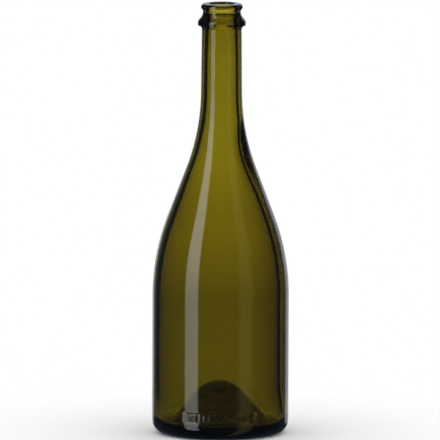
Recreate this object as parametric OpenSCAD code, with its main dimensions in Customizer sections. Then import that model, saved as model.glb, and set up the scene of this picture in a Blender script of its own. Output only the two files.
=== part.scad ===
// Sparkling wine bottle for 75 cl, in olive green glass, open and empty, standing on its base.
//
// The bottle is one moulding. It is drawn as the stretches of glass that a bottle maker names,
// from the crown lip down to the punt. Each is a solid ring turned about the upright axis, and
// neighbours meet face to face all round. A section is a closed outline of [radius, height]
// points. Where two arcs bend opposite ways, the straight line that touches both joins them.

/* [Bottle] */
// Height from the standing ring to the top of the lip
bottle_h = 295; // [285:1:305]
// Outside diameter of the straight barrel
barrel_d = 93.2; // [90:0.2:96]
// Thickness of the glass in the barrel
barrel_wall = 5.1; // [4:0.1:5.6]
// Thickness of the glass in the neck
neck_wall = 4.2; // [3.6:0.1:4.6]

/* [Mouth] */
// Diameter of the straight bore that holds the cork
bore_d = 17.5; // [17:0.1:18.4]
// Depth of the straight bore, from the top of the lip
bore_depth = 12; // [6:0.5:13]
// Depth where the bore has widened to the inside of the neck
bore_taper_depth = 37; // [30:0.5:50]
// Radius round the top edge of the bore
bore_round = 0.9; // [0.4:0.1:1.4]
// Diameter of the bead that a crown cap grips
lip_d = 28.6; // [28.2:0.1:29]
// Radius over the top of the bead
lip_top_r = 2.3; // [1.8:0.1:2.6]
// Height of the upright land round the widest part of the bead
lip_land = 0.6; // [0.4:0.1:0.8]
// Radius that turns the bead under
lip_under_r = 0.5; // [0.3:0.1:0.7]

/* [Gorge and cage ring] */
// Diameter of the gorge between the bead and the cage ring
gorge_d = 26; // [25.6:0.1:26.4]
// Length of the straight flank between the bead and the gorge's upper arc
bead_flank = 0.5; // [0.2:0.1:0.8]
// Radius of the gorge's upper arc
gorge_high_r = 2.2; // [1.8:0.1:2.4]
// Depth of the gorge's lower arc, from the top of the lip
gorge_low_depth = 5.8; // [5.6:0.1:6]
// Radius of the gorge's lower arc
gorge_low_r = 5.4; // [4.8:0.1:5.6]
// Diameter of the ring that the wire cage hooks under
ring_d = 32.9; // [32.5:0.1:33.5]
// Depth where the ring's upper arc ends, from the top of the lip
ring_top_depth = 13; // [12.8:0.1:13.6]
// Radius of the ring's upper arc
ring_top_r = 3; // [2.6:0.1:3.2]
// Depth of the ring's lower edge, from the top of the lip
ring_under_depth = 15; // [14.6:0.1:15.6]
// Radius of the ring's lower edge
ring_edge_r = 0.4; // [0.2:0.1:0.7]
// Slope of the ring's underside towards the neck, in degrees
ring_slope = 9.5; // [4:0.5:14]
// Fillet between the ring's underside and the neck
ring_fillet = 2.8; // [1.5:0.1:3.2]

/* [Neck and shoulder] */
// Outside diameter of the neck just under the ring
neck_top_d = 27.3; // [26.8:0.1:27.8]
// Outside diameter of the neck at its root
neck_root_d = 28.1; // [27.8:0.1:29]
// Height of the neck's root
neck_root_z = 235; // [232:1:242]
// Radius of the hollow curve from the neck into the shoulder
root_curve_r = 147; // [120:1:155]
// Height where the shoulder meets the barrel
shoulder_z = 94; // [88:1:98]
// Radius of the shoulder's full curve
shoulder_curve_r = 155; // [120:1:160]

/* [Base] */
// Radius of the heel's outer curve
heel_r = 9.2; // [8:0.1:9.8]
// Height of the heel ring, up to the barrel
heel_h = 14; // [13:0.5:18]
// Radius between the standing ring and the punt
stand_r = 3; // [1.5:0.1:4]
// Height of the valley inside, between the wall and the punt
valley_z = 7.5; // [5.5:0.1:8.5]
// Height of the punt's top, on the inside
punt_h = 36.3; // [34:0.1:38]
// Radius of the punt's rounded top, on the inside
punt_top_r = 22; // [20:0.5:24]
// Slope of the punt's flank, in degrees
punt_slope = 50; // [48:0.5:52]
// Thickness of the glass in the punt's flank
punt_wall = 5.2; // [4.6:0.1:5.6]
// Thickness of the glass at the punt's top
punt_crown = 7; // [6.6:0.1:8]

/* [Smoothness] */
// Largest distance between an arc and the straight steps that draw it
arc_error = 0.01; // [0.005:0.005:0.05]
// Steps round the upright axis
around = 180; // [60:12:240]

/* [Hidden] */
olive_glass = [0.42, 0.37, 0.08];
// A smaller radius than this is drawn with the steps of this one
coarsest_arc = 0.5;

bore_r = bore_d / 2;
bore_end_z = bottle_h - bore_depth;
taper_end_z = bottle_h - bore_taper_depth;

lip_r = lip_d / 2;
lip_top_centre = [lip_r - lip_top_r, bottle_h - lip_top_r];
lip_under_centre = [lip_r - lip_under_r, bottle_h - lip_top_r - lip_land];

gorge_r = gorge_d / 2;
// The gorge's upper arc lies below the bead's under arc, bead_flank of straight line between them
gorge_high_x = gorge_r + gorge_high_r;
gorge_high_reach = norm([lip_under_r + gorge_high_r, bead_flank]);
gorge_high_drop = sqrt(pow(gorge_high_reach, 2) - pow(gorge_high_x - lip_under_centre[0], 2));
gorge_high_centre = [gorge_high_x, lip_under_centre[1] - gorge_high_drop];
gorge_low_centre = [gorge_r + gorge_low_r, bottle_h - gorge_low_depth];
gorge_z = (gorge_high_centre[1] + gorge_low_centre[1]) / 2;

// The ring's underside is a line at ring_slope, under the edge arc and over the fillet
ring_r = ring_d / 2;
ring_top_centre = [ring_r - ring_top_r, bottle_h - ring_top_depth];
ring_edge_centre = [ring_r - ring_edge_r, bottle_h - ring_under_depth + ring_edge_r];
ring_down = [sin(ring_slope), -cos(ring_slope)];
ring_line = ring_down * ring_edge_centre + ring_edge_r;
fillet_r = neck_top_d / 2 + ring_fillet;
fillet_z = (ring_line + ring_fillet - ring_down[0] * fillet_r) / ring_down[1];
fillet_centre = [fillet_r, fillet_z];

neck_top = [neck_top_d / 2, fillet_z];
neck_root = [neck_root_d / 2, neck_root_z];

barrel_r = barrel_d / 2;
barrel_in_r = barrel_r - barrel_wall;
root_curve_centre = neck_root + [root_curve_r, 0];
shoulder_centre = [barrel_r - shoulder_curve_r, shoulder_z];

// The punt's flank is a straight cone. Its two faces are lines at these distances from the
// origin, along the direction that is square to them
flank_angle = 90 - punt_slope;
flank_out = [cos(flank_angle), sin(flank_angle)];
punt_centre = [0, punt_h - punt_top_r];
flank_inside = flank_out * punt_centre + punt_top_r;
flank_under = flank_inside - punt_wall;
// The hollow below has a rounded top that touches its flank and leaves punt_crown of glass
hollow_h = punt_h - punt_crown;
hollow_top_r = (flank_under - hollow_h * flank_out[1]) / (1 - flank_out[1]);
hollow_centre = [0, hollow_h - hollow_top_r];
// The valley's arc touches the wall, the flank and the height valley_z
valley_reach = flank_out * [barrel_in_r, valley_z] - flank_inside;
valley_r = valley_reach / (1 + flank_out[0] - flank_out[1]);
valley_centre = [barrel_in_r - valley_r, valley_z + valley_r];
// The standing ring's inner arc touches the floor and the hollow's flank
stand_centre = [(flank_under + stand_r - stand_r * flank_out[1]) / flank_out[0], stand_r];
// Heel and punt meet on a cone square to the flank, where the valley's arc begins
joint_inside = valley_centre - valley_r * flank_out;
joint_under = joint_inside - punt_wall * flank_out;

// Points of an arc from one angle to another, both ends included
function arc(centre, radius, from, to) =
    let (step = 2 * acos(1 - arc_error / max(radius, coarsest_arc)),
         steps = ceil(abs(to - from) / step))
    [for (i = [0:steps])
        let (angle = from + (to - from) * i / steps)
        centre + radius * [cos(angle), sin(angle)]];

// The same points from the last to the first
function reversed(points) = [for (i = [len(points) - 1:-1:0]) points[i]];

// Angle at which the line that touches both circles leaves the full one
function touch_angle(full, full_r, hollow, hollow_r) =
    let (reach = hollow - full)
    assert(norm(reach) >= full_r + hollow_r, "the two arcs overlap")
    atan2(reach[1], reach[0]) - sign(reach[1]) * acos((full_r + hollow_r) / norm(reach));

// From the outermost point of a full arc, along the line that touches both, to the innermost
// point of a hollow arc
function reverse_curve(full, full_r, hollow, hollow_r) =
    let (angle = touch_angle(full, full_r, hollow, hollow_r))
    concat(arc(full, full_r, 0, angle), arc(hollow, hollow_r, 180 + angle, 180));

// Outside radius of the neck at a height
function neck_r(z) = lookup(z, [[neck_root[1], neck_root[0]], [neck_top[1], neck_top[0]]]);

// Radius of the bore at a height, from the cork's straight stretch to the inside of the neck
function bore_at(z) = lookup(z, [[taper_end_z, neck_r(taper_end_z) - neck_wall], [bore_end_z, bore_r]]);

// Turns a section between an outside and an inside outline, both given from the bottom up
module ring_of_glass(outside, inside) {
    color(olive_glass)
        rotate_extrude($fn = around)
            polygon(concat(outside, reversed(inside)));
}

// The bead that a crown cap grips, with the mouth of the bore
module crown_lip() {
    bore_edge = [bore_r + bore_round, bottle_h - bore_round];
    ring_of_glass(
        concat([[gorge_r, gorge_z]],
               reversed(reverse_curve(lip_under_centre, lip_under_r, gorge_high_centre, gorge_high_r)),
               arc(lip_top_centre, lip_top_r, 0, 90)),
        concat([[bore_r, gorge_z]],
               arc(bore_edge, bore_round, 180, 90)));
}

// The ring that the wire cage hooks under, from its fillet on the neck up to the gorge
module cage_ring() {
    ring_of_glass(
        concat(arc(fillet_centre, ring_fillet, 180, 90 + ring_slope),
               arc(ring_edge_centre, ring_edge_r, ring_slope - 90, 0),
               reverse_curve(ring_top_centre, ring_top_r, gorge_low_centre, gorge_low_r),
               [[gorge_r, gorge_z]]),
        [[bore_at(neck_top[1]), neck_top[1]], [bore_r, bore_end_z], [bore_r, gorge_z]]);
}

// The slim neck, a little wider at its root
module neck() {
    ring_of_glass(
        [neck_root, neck_top],
        [neck_root - [neck_wall, 0],
         [bore_at(taper_end_z), taper_end_z],
         [bore_at(neck_top[1]), neck_top[1]]]);
}

// The long shoulder: a full curve off the barrel, a straight flank and a hollow curve to the neck
module shoulder() {
    ring_of_glass(
        reverse_curve(shoulder_centre, shoulder_curve_r, root_curve_centre, root_curve_r),
        reverse_curve(shoulder_centre, shoulder_curve_r - barrel_wall,
                      root_curve_centre, root_curve_r + neck_wall));
}

// The straight barrel that takes the label
module barrel() {
    ring_of_glass(
        [[barrel_r, heel_h], [barrel_r, shoulder_z]],
        [[barrel_in_r, heel_h], [barrel_in_r, shoulder_z]]);
}

// The rounded heel, the standing ring and the valley inside
module heel() {
    ring_of_glass(
        concat([joint_under],
               arc(stand_centre, stand_r, 180 + flank_angle, 270),
               arc([barrel_r - heel_r, heel_r], heel_r, -90, 0),
               [[barrel_r, heel_h]]),
        concat(arc(valley_centre, valley_r, 180 + flank_angle, 360),
               [[barrel_in_r, heel_h]]));
}

// The punt: the pushed-up middle of the base, hollow below, thickest at its rounded top
module punt() {
    ring_of_glass(
        concat([joint_inside], arc(punt_centre, punt_top_r, flank_angle, 90)),
        concat([joint_under], arc(hollow_centre, hollow_top_r, flank_angle, 90)));
}

crown_lip();
cage_ring();
neck();
shoulder();
barrel();
heel();
punt();
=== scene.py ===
"""Sparkling wine bottle in olive green glass, open and empty, on a white studio floor.

The glass is one closed piece: its outline is drawn as a chain of points, from the top of the
hollow under the base, out and up the outside, over the lip and down the inside, and spun about
the upright axis. The outline repeats the solids' arcs in metres and takes its height and its
width from the frame.
"""
from math import acos, atan2, ceil, cos, hypot, pi, radians, sin, sqrt

import bpy
from mathutils import Euler, Matrix, Vector
from mathutils.kdtree import KDTree


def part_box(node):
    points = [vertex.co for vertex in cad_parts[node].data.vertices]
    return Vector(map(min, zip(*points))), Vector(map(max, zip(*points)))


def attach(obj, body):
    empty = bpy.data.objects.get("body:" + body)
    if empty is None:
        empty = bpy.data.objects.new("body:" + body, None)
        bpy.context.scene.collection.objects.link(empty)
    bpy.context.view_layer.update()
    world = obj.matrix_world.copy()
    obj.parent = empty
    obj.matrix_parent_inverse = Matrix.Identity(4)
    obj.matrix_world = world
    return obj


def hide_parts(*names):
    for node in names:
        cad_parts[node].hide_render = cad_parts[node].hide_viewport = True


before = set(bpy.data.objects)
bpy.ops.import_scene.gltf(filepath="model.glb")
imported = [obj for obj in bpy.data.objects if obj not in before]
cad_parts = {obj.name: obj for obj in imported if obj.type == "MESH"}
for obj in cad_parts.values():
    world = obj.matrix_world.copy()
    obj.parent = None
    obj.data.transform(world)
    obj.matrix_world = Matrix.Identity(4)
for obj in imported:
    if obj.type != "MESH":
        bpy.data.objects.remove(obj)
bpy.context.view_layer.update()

MM = 0.001

# Driving dimensions of the glass, in metres
LIP_R, BOTTLE_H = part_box("crown_lip")[1][0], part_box("crown_lip")[1][2]
BARREL_R, SHOULDER_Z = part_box("barrel")[1][0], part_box("barrel")[1][2]
RING_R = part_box("cage_ring")[1][0]
NECK_ROOT_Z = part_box("neck")[0][2]
NECK_ROOT_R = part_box("neck")[1][0]
BARREL_WALL, NECK_WALL = 5.1 * MM, 4.2 * MM

BORE_R, BORE_DEPTH, BORE_TAPER_DEPTH, BORE_ROUND = 8.75 * MM, 12 * MM, 37 * MM, 0.9 * MM
LIP_TOP_R, LIP_LAND, LIP_UNDER_R = 2.3 * MM, 0.6 * MM, 0.5 * MM
GORGE_R = 13 * MM
BEAD_FLANK, GORGE_HIGH_R = 0.5 * MM, 2.2 * MM
GORGE_LOW_DEPTH, GORGE_LOW_R = 5.8 * MM, 5.4 * MM
RING_TOP_DEPTH, RING_TOP_R = 13 * MM, 3 * MM
RING_UNDER_DEPTH, RING_EDGE_R = 15 * MM, 0.4 * MM
RING_SLOPE, RING_FILLET = radians(9.5), 2.8 * MM
NECK_TOP_R = 13.65 * MM
ROOT_CURVE_R, SHOULDER_CURVE_R = 147 * MM, 155 * MM
HEEL_R, STAND_R, VALLEY_Z = 9.2 * MM, 3 * MM, 7.5 * MM
PUNT_H, PUNT_TOP_R, PUNT_SLOPE = 36.3 * MM, 22 * MM, radians(50)
PUNT_WALL, PUNT_CROWN = 5.2 * MM, 7 * MM

# How finely the glass is drawn: the steps of the spin, of the arcs and of the straight walls
AROUND = 336
SPIN_STEP = 2 * pi / AROUND
ARC_STEP = 1.6 * MM
ARC_TURN = radians(9)
WALL_STEP = 5 * MM
PANEL_STEP = 0.6 * MM
# Points nearer to each other than MERGE are one, and those within AXIS_CLEAR of the axis stay put
MERGE = 0.001 * MM
AXIS_CLEAR = 1 * MM

# Marks of the mould: a shallow panel with upright ribs on the front of the heel, and two seams up
# the shoulder and the neck, finer where the bottle is slimmer.
# Marks of the blowing: an inner surface that wanders, and a wall that is thicker on the right
PANEL_LOW, PANEL_HIGH, PANEL_EDGE = 11.2 * MM, 19.4 * MM, 1.0 * MM
PANEL_HALF_ANGLE, PANEL_END = radians(30), radians(3)
PANEL_DEPTH = 0.45 * MM
STEPS_PER_RIB = 4
RIB_PITCH = STEPS_PER_RIB * SPIN_STEP
RIB_LOW, RIB_HIGH, RIB_END = 12.6 * MM, 17.9 * MM, 0.8 * MM
SEAM_RAISED = 0.07 * MM
SEAM_FOOT, SEAM_TOP = 0.75 * SPIN_STEP, 0.25 * SPIN_STEP
WAVE = 0.11 * MM
# Share of each wave, waves round the bottle, phase, and turn of the phase with each metre of height
WAVES = ((0.5, 2, 1.1, 9), (0.3, 3, -0.6, -23), (0.2, 5, 2.0, 41))
# The higher the power, the narrower the thick side
THICK_SIDE, SIDE_POWER = 1.1 * MM, 4
WAVE_LOW, WAVE_HIGH, WAVE_END = 16 * MM, 228 * MM, 14 * MM
THICK_TOP, THICK_FADE = 195 * MM, 25 * MM
SWELL, SWELL_LOW, SWELL_FULL, SWELL_HIGH = 1.2 * MM, 158 * MM, 190 * MM, 216 * MM


def smooth(value, start, end):
    """0 before start, 1 after end, smooth between; start may be the larger."""
    t = min(max((value - start) / (end - start), 0.0), 1.0)
    return t * t * (3 - 2 * t)


def arc(centre, radius, start, end):
    """Points of an arc from one angle to another, both ends included."""
    turn = min(ARC_TURN, ARC_STEP / radius) if radius > ARC_STEP else 2 * ARC_TURN
    steps = max(ceil(abs(end - start) / turn), 2)
    if radius > BARREL_R:
        steps = max(ceil(abs(end - start) * radius / WALL_STEP), 2)
    return [(centre[0] + radius * cos(start + (end - start) * i / steps),
             centre[1] + radius * sin(start + (end - start) * i / steps)) for i in range(steps + 1)]


def line(start, end, step):
    """Points along a straight stretch, without its ends."""
    steps = max(ceil(hypot(end[0] - start[0], end[1] - start[1]) / step), 1)
    return [(start[0] + (end[0] - start[0]) * i / steps, start[1] + (end[1] - start[1]) * i / steps)
            for i in range(1, steps)]


def reverse_curve(full, full_r, hollow, hollow_r):
    """Full arc, the line that touches both arcs, hollow arc: from widest to narrowest."""
    dx, dz = hollow[0] - full[0], hollow[1] - full[1]
    turn = (1 if dz > 0 else -1) * acos((full_r + hollow_r) / hypot(dx, dz))
    angle = atan2(dz, dx) - turn
    return arc(full, full_r, 0, angle), arc(hollow, hollow_r, pi + angle, pi)


def neck_outside(z):
    """Outside radius of the neck at a height."""
    t = (z - NECK_ROOT_Z) / (ring_fillet_centre()[1] - NECK_ROOT_Z)
    return NECK_ROOT_R + (NECK_TOP_R - NECK_ROOT_R) * t


def ring_fillet_centre():
    """Centre of the fillet under the cage ring."""
    edge = (RING_R - RING_EDGE_R, BOTTLE_H - RING_UNDER_DEPTH + RING_EDGE_R)
    down = (sin(RING_SLOPE), -cos(RING_SLOPE))
    reach = down[0] * edge[0] + down[1] * edge[1] + RING_EDGE_R
    x = NECK_TOP_R + RING_FILLET
    return x, (reach + RING_FILLET - down[0] * x) / down[1]


def base_outline():
    """The hollow under the base, the standing ring and the heel, then the inside of the base."""
    lean = pi / 2 - PUNT_SLOPE
    out = (cos(lean), sin(lean))
    punt = (0.0, PUNT_H - PUNT_TOP_R)
    flank_inside = out[1] * punt[1] + PUNT_TOP_R
    flank_under = flank_inside - PUNT_WALL
    hollow_h = PUNT_H - PUNT_CROWN
    hollow_r = (flank_under - hollow_h * out[1]) / (1 - out[1])
    stand = ((flank_under + STAND_R - STAND_R * out[1]) / out[0], STAND_R)
    under = arc((0.0, hollow_h - hollow_r), hollow_r, pi / 2, lean)
    ring = arc(stand, STAND_R, pi + lean, 1.5 * pi)
    heel = arc((BARREL_R - HEEL_R, HEEL_R), HEEL_R, -pi / 2, 0)
    outside = under + line(under[-1], ring[0], ARC_STEP) + ring + heel

    wall = BARREL_R - BARREL_WALL
    reach = out[0] * wall + out[1] * VALLEY_Z - flank_inside
    valley_r = reach / (1 + out[0] - out[1])
    valley = arc((wall - valley_r, VALLEY_Z + valley_r), valley_r, 2 * pi, pi + lean)
    dome = arc(punt, PUNT_TOP_R, lean, pi / 2)
    inside = valley + line(valley[-1], dome[0], ARC_STEP) + dome
    return outside, inside


def shoulder_outline(grow_full, grow_hollow):
    """The long reverse curve between barrel and neck, from the bottom up."""
    full, hollow = reverse_curve(
        (BARREL_R - SHOULDER_CURVE_R, SHOULDER_Z), SHOULDER_CURVE_R + grow_full,
        (NECK_ROOT_R + ROOT_CURVE_R, NECK_ROOT_Z), ROOT_CURVE_R + grow_hollow)
    return full + line(full[-1], hollow[0], WALL_STEP) + hollow


def finish_outline():
    """The neck's fillet, the cage ring, the gorge and the bead, from the bottom up."""
    fillet = ring_fillet_centre()
    edge = (RING_R - RING_EDGE_R, BOTTLE_H - RING_UNDER_DEPTH + RING_EDGE_R)
    ring_up, gorge_up = reverse_curve(
        (RING_R - RING_TOP_R, BOTTLE_H - RING_TOP_DEPTH), RING_TOP_R,
        (GORGE_R + GORGE_LOW_R, BOTTLE_H - GORGE_LOW_DEPTH), GORGE_LOW_R)
    bead = (LIP_R - LIP_UNDER_R, BOTTLE_H - LIP_TOP_R - LIP_LAND)
    gorge_x = GORGE_R + GORGE_HIGH_R
    reach = hypot(LIP_UNDER_R + GORGE_HIGH_R, BEAD_FLANK)
    gorge_z = bead[1] - sqrt(reach ** 2 - (gorge_x - bead[0]) ** 2)
    bead_down, gorge_down = reverse_curve(bead, LIP_UNDER_R, (gorge_x, gorge_z), GORGE_HIGH_R)
    return (arc(fillet, RING_FILLET, pi, pi / 2 + RING_SLOPE)
            + arc(edge, RING_EDGE_R, RING_SLOPE - pi / 2, 0)
            + ring_up + gorge_up + gorge_down[::-1] + bead_down[::-1]
            + arc((LIP_R - LIP_TOP_R, BOTTLE_H - LIP_TOP_R), LIP_TOP_R, 0, pi / 2))


def glass_outline():
    """The whole section from axis to axis, and how many of its points are outside."""
    base_out, base_in = base_outline()
    shoulder_out = shoulder_outline(0, 0)
    finish = finish_outline()
    panel_top = (BARREL_R, PANEL_HIGH + 2 * PANEL_EDGE)
    outside = (base_out + line(base_out[-1], panel_top, PANEL_STEP) + [panel_top]
               + line(panel_top, shoulder_out[0], WALL_STEP) + shoulder_out
               + line(shoulder_out[-1], finish[0], WALL_STEP) + finish)

    bore_end = BOTTLE_H - BORE_DEPTH
    taper_end = BOTTLE_H - BORE_TAPER_DEPTH
    mouth = arc((BORE_R + BORE_ROUND, BOTTLE_H - BORE_ROUND), BORE_ROUND, pi / 2, pi)
    taper = (neck_outside(taper_end) - NECK_WALL, taper_end)
    shoulder_in = shoulder_outline(-BARREL_WALL, NECK_WALL)[::-1]
    inside = (mouth + line(mouth[-1], (BORE_R, bore_end), WALL_STEP) + [(BORE_R, bore_end)]
              + line((BORE_R, bore_end), taper, WALL_STEP) + [taper]
              + line(taper, shoulder_in[0], WALL_STEP) + shoulder_in
              + line(shoulder_in[-1], base_in[0], WALL_STEP) + base_in)
    outline, count = [], 0
    for i, point in enumerate(outside + inside):
        if outline and hypot(point[0] - outline[-1][0], point[1] - outline[-1][1]) < MERGE:
            continue
        outline.append(point)
        count += i < len(outside)
    return outline, count


def deselect():
    """Leaves nothing selected."""
    bpy.ops.object.select_all(action="DESELECT")


def spun_piece(name, outline):
    """Draws the outline as a chain of points and spins it about the upright axis."""
    deselect()
    bpy.ops.mesh.primitive_plane_add(size=MM)
    piece = bpy.context.object
    piece.name = piece.data.name = name
    bpy.ops.object.mode_set(mode="EDIT")
    bpy.ops.mesh.select_all(action="SELECT")
    bpy.ops.mesh.merge(type="CENTER")
    bpy.ops.mesh.select_mode(type="VERT")
    bpy.ops.transform.translate(value=(outline[0][0], 0, outline[0][1]))
    for (x0, z0), (x1, z1) in zip(outline, outline[1:]):
        bpy.ops.mesh.extrude_vertices_move(
            TRANSFORM_OT_translate={"value": (x1 - x0, 0, z1 - z0)})
    bpy.ops.mesh.select_all(action="SELECT")
    bpy.ops.mesh.spin(steps=AROUND, angle=2 * pi, center=(0, 0, 0), axis=(0, 0, 1))
    bpy.ops.mesh.select_all(action="SELECT")
    bpy.ops.mesh.remove_doubles(threshold=MERGE)
    bpy.ops.mesh.select_all(action="SELECT")
    bpy.ops.mesh.normals_make_consistent(inside=False)
    bpy.ops.object.mode_set(mode="OBJECT")
    return piece


def outside_move(r, z, turn):
    """How far the mould moves a point of the outer surface."""
    front = abs((turn + pi / 2 + pi) % (2 * pi) - pi)
    panel = (smooth(front, PANEL_HALF_ANGLE + PANEL_END, PANEL_HALF_ANGLE)
             * smooth(z, PANEL_LOW, PANEL_LOW + PANEL_EDGE)
             * smooth(z, PANEL_HIGH, PANEL_HIGH - PANEL_EDGE))
    rib = (0.5 + 0.5 * cos(2 * pi * front / RIB_PITCH)) * smooth(
        front, PANEL_HALF_ANGLE - 0.5 * RIB_PITCH, PANEL_HALF_ANGLE - RIB_PITCH)
    rib *= smooth(z, RIB_LOW, RIB_LOW + RIB_END) * smooth(z, RIB_HIGH, RIB_HIGH - RIB_END)
    seam = SEAM_RAISED * r / BARREL_R * smooth(abs(sin(turn)), SEAM_FOOT, SEAM_TOP)
    seam *= smooth(BARREL_R - r, SEAM_RAISED, 3 * SEAM_RAISED)
    return seam - PANEL_DEPTH * panel * (1 - rib)


def inside_move(z, turn):
    """How far the blown inner surface wanders, and the thicker wall on one side."""
    held = smooth(z, WAVE_LOW, WAVE_LOW + WAVE_END) * smooth(z, WAVE_HIGH, WAVE_HIGH - WAVE_END)
    wander = sum(share * sin(count * turn + phase + climb * z) for share, count, phase, climb in WAVES)
    side = THICK_SIDE * smooth(z, THICK_TOP + THICK_FADE, THICK_TOP)
    side += SWELL * smooth(z, SWELL_LOW, SWELL_FULL) * smooth(z, SWELL_HIGH, SWELL_FULL)
    return held * (WAVE * wander - side * max(cos(turn), 0) ** SIDE_POWER)


def model_glass():
    """The bottle: one closed piece of glass."""
    outline, outside_count = glass_outline()
    bottle = spun_piece("bottle_glass", outline)
    tree = KDTree(len(outline))
    for i, (r, z) in enumerate(outline):
        tree.insert((r, 0, z), i)
    tree.balance()
    for vertex in bottle.data.vertices:
        x, y, z = vertex.co
        r = hypot(x, y)
        if r < AXIS_CLEAR:
            continue
        turn = atan2(y, x)
        on_outside = tree.find((r, 0, z))[1] < outside_count
        if on_outside and HEEL_R < z < BOTTLE_H - BORE_TAPER_DEPTH:
            move = outside_move(r, z, turn)
        elif not on_outside and z < BOTTLE_H - BORE_TAPER_DEPTH:
            move = inside_move(z, turn)
        else:
            continue
        vertex.co.x *= 1 + move / r
        vertex.co.y *= 1 + move / r
    for face in bottle.data.polygons:
        face.use_smooth = True
    bottle.data.materials.append(glass_finish())
    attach(bottle, "root")
    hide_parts("crown_lip", "cage_ring", "neck", "shoulder", "barrel", "heel", "punt")
    return bottle


# Clear olive glass: what it absorbs per metre is the density times one less the tint
GLASS_IOR = 1.52
GLASS_DENSITY = 700.0
GLASS_TINT = (0.731, 0.700, 0.05, 1.0)
POLISH_LOW, POLISH_HIGH = 0.0, 0.012
RIPPLE_SCALE, RIPPLE_UPRIGHT, RIPPLE_DETAIL = 55.0, 0.35, 2.0
RIPPLE_HEIGHT, RIPPLE_STRENGTH = 0.02 * MM, 0.12


def node_material(name):
    """A new node material, emptied, with its output."""
    material = bpy.data.materials.new(name)
    material.use_nodes = True
    tree = material.node_tree
    tree.nodes.clear()
    return material, tree, tree.nodes.new("ShaderNodeOutputMaterial")


def glass_finish():
    """Clear olive green glass: fire-polished, with a faint ripple left by the mould."""
    material, tree, output = node_material("olive_glass")
    nodes, links = tree.nodes, tree.links
    shader = nodes.new("ShaderNodeBsdfPrincipled")
    shader.inputs["Base Color"].default_value = (1, 1, 1, 1)
    shader.inputs["IOR"].default_value = GLASS_IOR
    shader.inputs["Transmission Weight"].default_value = 1.0
    place = nodes.new("ShaderNodeTexCoord")
    stretch = nodes.new("ShaderNodeMapping")
    stretch.inputs["Scale"].default_value = (1, 1, RIPPLE_UPRIGHT)
    links.new(place.outputs["Object"], stretch.inputs["Vector"])
    ripple = nodes.new("ShaderNodeTexNoise")
    ripple.inputs["Scale"].default_value = RIPPLE_SCALE
    ripple.inputs["Detail"].default_value = RIPPLE_DETAIL
    links.new(stretch.outputs["Vector"], ripple.inputs["Vector"])
    bump = nodes.new("ShaderNodeBump")
    bump.inputs["Strength"].default_value = RIPPLE_STRENGTH
    bump.inputs["Distance"].default_value = RIPPLE_HEIGHT
    links.new(ripple.outputs["Fac"], bump.inputs["Height"])
    links.new(bump.outputs["Normal"], shader.inputs["Normal"])
    polish = nodes.new("ShaderNodeMapRange")
    polish.inputs["To Min"].default_value = POLISH_LOW
    polish.inputs["To Max"].default_value = POLISH_HIGH
    links.new(ripple.outputs["Fac"], polish.inputs["Value"])
    links.new(polish.outputs["Result"], shader.inputs["Roughness"])
    absorb = nodes.new("ShaderNodeVolumeAbsorption")
    absorb.inputs["Color"].default_value = GLASS_TINT
    absorb.inputs["Density"].default_value = GLASS_DENSITY
    links.new(shader.outputs["BSDF"], output.inputs["Surface"])
    links.new(absorb.outputs["Volume"], output.inputs["Volume"])
    return material


# Studio. Angles are turned from straight behind the bottle or from the camera, as their use says
FLOOR_R, FLOOR_FADE_START = 0.24, 0.05
FLOOR_WHITE = (0.97, 0.97, 0.97, 1.0)
ROUND_SIDES = 96
TENT_R, TENT_H = 0.10, 0.42
# Height above the floor in metres, and level of the tent's light, where 1 is white
TENT_STOPS = ((0.00, 0.60), (0.03, 0.66), (0.08, 0.62), (0.13, 1.20), (0.17, 1.15), (0.23, 1.0),
              (0.2845, 0.95), (0.2865, 2.3), (0.30, 2.3))
# A ray sees the tent once it has passed through more surfaces of the glass than this
TENT_FIRST_DEPTH = 2.5
TENT_TINT = (1.0, 0.945, 0.9)
DUSK = (0.045, 0.058, 0.085)
BACKDROP_LEVEL, BACKDROP_LEFT, BACKDROP_RIGHT = 0.62, radians(26), radians(36)
BACKDROP_THROUGH = 0.5
BACKDROP_LOW, BACKDROP_HIGH, BACKDROP_SOFT = radians(-11), radians(70), radians(2.5)
FILL_LEVEL, FILL_FROM, FILL_TO, FILL_SOFT = 0.32, radians(32), radians(56), radians(5)
FILL_TINT = (1.0, 0.95, 0.35)
STRIP_LEVEL, STRIP_FROM, STRIP_TO = 2.0, radians(38.4), radians(62.6)
STRIP_TINT = (0.95, 1.0, 1.08)
STRIP_LOW, STRIP_HIGH = radians(-32), radians(55)
STRIP_GAIN, STRIP_GAIN_FROM, STRIP_GAIN_TO = 0.45, radians(-6), radians(14)
EDGE_SOFT = radians(1.0)
# The Mix node's colour sockets, by number because its other sockets have the same names
MIX_COLOUR_A, MIX_COLOUR_B, MIX_COLOUR_RESULT = 6, 7, 2


def math_node(tree, operation, first, second=None, clamp=False):
    """A Math node fed by sockets or numbers."""
    node = tree.nodes.new("ShaderNodeMath")
    node.operation = operation
    node.use_clamp = clamp
    for i, value in enumerate((first, second)):
        if value is None:
            continue
        if isinstance(value, (int, float)):
            node.inputs[i].default_value = value
        else:
            tree.links.new(value, node.inputs[i])
    return node.outputs[0]


def between(tree, value, low, high, soft):
    """1 where the value lies between two limits, with soft edges."""
    def edge(first, second):
        node = tree.nodes.new("ShaderNodeMapRange")
        node.interpolation_type = "SMOOTHSTEP"
        node.inputs["From Min"].default_value = first
        node.inputs["From Max"].default_value = second
        tree.links.new(value, node.inputs["Value"])
        return node.outputs["Result"]
    rise = edge(low - soft, low + soft)
    fall = edge(high - soft, high + soft)
    return math_node(tree, "SUBTRACT", rise, fall, clamp=True)


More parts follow.
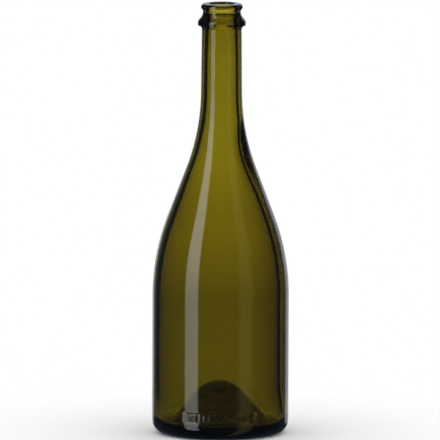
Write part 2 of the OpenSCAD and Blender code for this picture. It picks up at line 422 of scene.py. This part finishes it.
def light_world():
    """White all round for the camera and the floor. Rays that the glass reflects or lets through
    see a dark studio instead, with a backdrop, a tall strip light and a weak warm fill."""
    world = bpy.data.worlds.new("studio")
    bpy.context.scene.world = world
    world.use_nodes = True
    tree = world.node_tree
    tree.nodes.clear()
    nodes, links = tree.nodes, tree.links
    output = nodes.new("ShaderNodeOutputWorld")
    place = nodes.new("ShaderNodeTexCoord")
    split = nodes.new("ShaderNodeSeparateXYZ")
    links.new(place.outputs["Generated"], split.inputs["Vector"])
    x, y, z = split.outputs
    behind = math_node(tree, "ARCTAN2", x, y)
    camera_left = math_node(tree, "ARCTAN2", math_node(tree, "MULTIPLY", x, -1.0),
                            math_node(tree, "MULTIPLY", y, -1.0))
    rise = math_node(tree, "ARCSINE", z)
    backdrop = math_node(tree, "MULTIPLY",
                         between(tree, behind, -BACKDROP_LEFT, BACKDROP_RIGHT, EDGE_SOFT),
                         between(tree, rise, BACKDROP_LOW, BACKDROP_HIGH, BACKDROP_SOFT))
    strip = math_node(tree, "MULTIPLY", between(tree, camera_left, STRIP_FROM, STRIP_TO, EDGE_SOFT),
                      between(tree, rise, STRIP_LOW, STRIP_HIGH, 3 * EDGE_SOFT))
    gain = nodes.new("ShaderNodeMapRange")
    gain.inputs["From Min"].default_value = STRIP_GAIN_FROM
    gain.inputs["From Max"].default_value = STRIP_GAIN_TO
    gain.inputs["To Min"].default_value = STRIP_LEVEL
    gain.inputs["To Max"].default_value = STRIP_LEVEL * (1 + STRIP_GAIN)
    links.new(rise, gain.inputs["Value"])
    fill = between(tree, camera_left, -FILL_TO, -FILL_FROM, FILL_SOFT)
    seen = nodes.new("ShaderNodeLightPath")
    through = math_node(tree, "MULTIPLY", seen.outputs["Is Transmission Ray"], BACKDROP_THROUGH)
    through = math_node(tree, "ADD", through, BACKDROP_LEVEL)
    lamp = math_node(tree, "MULTIPLY", strip, gain.outputs["Result"])
    level = math_node(tree, "ADD", math_node(tree, "MULTIPLY", backdrop, through), lamp)
    cool = nodes.new("ShaderNodeVectorMath")
    cool.operation = "SCALE"
    cool.inputs[0].default_value = STRIP_TINT
    links.new(level, cool.inputs["Scale"])
    warm = nodes.new("ShaderNodeVectorMath")
    warm.operation = "MULTIPLY_ADD"
    warm.inputs[0].default_value = FILL_TINT
    links.new(math_node(tree, "MULTIPLY", fill, FILL_LEVEL), warm.inputs[1])
    warm.inputs[2].default_value = DUSK
    studio = nodes.new("ShaderNodeVectorMath")
    studio.operation = "ADD"
    links.new(cool.outputs[0], studio.inputs[0])
    links.new(warm.outputs[0], studio.inputs[1])
    glass_ray = math_node(tree, "MAXIMUM", seen.outputs["Is Transmission Ray"],
                          seen.outputs["Is Singular Ray"])
    glass_ray = math_node(tree, "MAXIMUM", glass_ray, seen.outputs["Is Glossy Ray"])
    choose = nodes.new("ShaderNodeMix")
    choose.data_type = "RGBA"
    links.new(glass_ray, choose.inputs["Factor"])
    choose.inputs[MIX_COLOUR_A].default_value = (1, 1, 1, 1)
    links.new(studio.outputs[0], choose.inputs[MIX_COLOUR_B])
    background = nodes.new("ShaderNodeBackground")
    links.new(choose.outputs[MIX_COLOUR_RESULT], background.inputs["Color"])
    links.new(background.outputs[0], output.inputs["Surface"])


def tent_finish():
    """Light for rays that crossed more than one wall, and clear for all others. Its levels were set
    by comparing renders with the photograph: dim behind the body, and above white behind the
    shoulder and the lip."""
    material, tree, output = node_material("light_tent")
    nodes, links = tree.nodes, tree.links
    place = nodes.new("ShaderNodeTexCoord")
    split = nodes.new("ShaderNodeSeparateXYZ")
    links.new(place.outputs["Object"], split.inputs["Vector"])
    low, high = TENT_STOPS[0][0], TENT_STOPS[-1][0]
    height = nodes.new("ShaderNodeMapRange")
    height.inputs["From Min"].default_value = low
    height.inputs["From Max"].default_value = high
    links.new(split.outputs["Z"], height.inputs["Value"])
    ramp = nodes.new("ShaderNodeValToRGB")
    stops = ramp.color_ramp.elements
    for z, level in TENT_STOPS:
        place_on_ramp = (z - low) / (high - low)
        stop = (stops[0] if z == low else stops[-1] if z == high else stops.new(place_on_ramp))
        stop.color = [level * part for part in TENT_TINT] + [1]
    links.new(height.outputs["Result"], ramp.inputs["Fac"])
    glow = nodes.new("ShaderNodeEmission")
    links.new(ramp.outputs["Color"], glow.inputs["Color"])
    clear = nodes.new("ShaderNodeBsdfTransparent")
    seen = nodes.new("ShaderNodeLightPath")
    deep = math_node(tree, "GREATER_THAN", seen.outputs["Transmission Depth"], TENT_FIRST_DEPTH)
    mix = nodes.new("ShaderNodeMixShader")
    links.new(deep, mix.inputs["Fac"])
    links.new(clear.outputs[0], mix.inputs[1])
    links.new(glow.outputs[0], mix.inputs[2])
    links.new(mix.outputs[0], output.inputs["Surface"])
    return material


def floor_finish():
    """White floor that fades out into the white round it."""
    material, tree, output = node_material("white_floor")
    nodes, links = tree.nodes, tree.links
    place = nodes.new("ShaderNodeTexCoord")
    reach = nodes.new("ShaderNodeVectorMath")
    reach.operation = "LENGTH"
    links.new(place.outputs["Object"], reach.inputs[0])
    fade = nodes.new("ShaderNodeMapRange")
    fade.interpolation_type = "SMOOTHSTEP"
    fade.inputs["From Min"].default_value = FLOOR_FADE_START
    fade.inputs["From Max"].default_value = FLOOR_R
    links.new(reach.outputs["Value"], fade.inputs["Value"])
    matt = nodes.new("ShaderNodeBsdfDiffuse")
    matt.inputs["Color"].default_value = FLOOR_WHITE
    clear = nodes.new("ShaderNodeBsdfTransparent")
    mix = nodes.new("ShaderNodeMixShader")
    links.new(fade.outputs["Result"], mix.inputs["Fac"])
    links.new(matt.outputs[0], mix.inputs[1])
    links.new(clear.outputs[0], mix.inputs[2])
    links.new(mix.outputs[0], output.inputs["Surface"])
    return material


def set_studio():
    """The floor and the tent of light round the bottle."""
    deselect()
    bpy.ops.mesh.primitive_circle_add(vertices=ROUND_SIDES, radius=FLOOR_R, fill_type="NGON")
    floor = bpy.context.object
    floor.name = "floor"
    floor.data.materials.append(floor_finish())
    # Kept out of reflections, where its white would grey the lower body
    floor.visible_glossy = False

    deselect()
    bpy.ops.mesh.primitive_cylinder_add(vertices=ROUND_SIDES, radius=TENT_R, depth=TENT_H,
                                        end_fill_type="NOTHING", location=(0, 0, 0))
    tent = bpy.context.object
    tent.name = "light_tent"
    bpy.ops.object.mode_set(mode="EDIT")
    bpy.ops.mesh.select_all(action="SELECT")
    bpy.ops.transform.translate(value=(0, 0, 0.5 * TENT_H + MM))
    bpy.ops.object.mode_set(mode="OBJECT")
    tent.data.materials.append(tent_finish())
    tent.visible_camera = tent.visible_diffuse = tent.visible_glossy = False
    tent.visible_shadow = tent.visible_volume_scatter = False


# Camera, from the photograph's scale and the lean of the bottle in it
MM_PER_PIXEL = 0.6826 * MM
IMAGE_PIXELS = 440
CAMERA_AWAY = 10.0
CAMERA_RISE = radians(7.3)
CAMERA_ROLL = radians(0.247)
SENSOR = 36.0
AIM_Z = 146.2 * MM
AIM_LEFT_PIXELS = 1.0
CLIP_NEAR, CLIP_FAR = 0.1, 100.0


def set_camera():
    """The photograph's view: far away, level but for a slight look down."""
    data = bpy.data.cameras.new("camera")
    camera = bpy.data.objects.new("camera", data)
    bpy.context.collection.objects.link(camera)
    data.sensor_width = SENSOR
    data.lens = SENSOR * CAMERA_AWAY / (IMAGE_PIXELS * MM_PER_PIXEL)
    data.clip_start, data.clip_end = CLIP_NEAR, CLIP_FAR
    aim = Vector((-AIM_LEFT_PIXELS * MM_PER_PIXEL, 0, AIM_Z))
    camera.location = aim + CAMERA_AWAY * Vector((0, -cos(CAMERA_RISE), sin(CAMERA_RISE)))
    camera.rotation_euler = (Euler((pi / 2 - CAMERA_RISE, 0, 0)).to_matrix()
                             @ Matrix.Rotation(CAMERA_ROLL, 3, "Z")).to_euler()
    bpy.context.scene.camera = camera


model_glass()
set_studio()
light_world()
set_camera()
bpy.context.scene.view_settings.view_transform = "Standard"
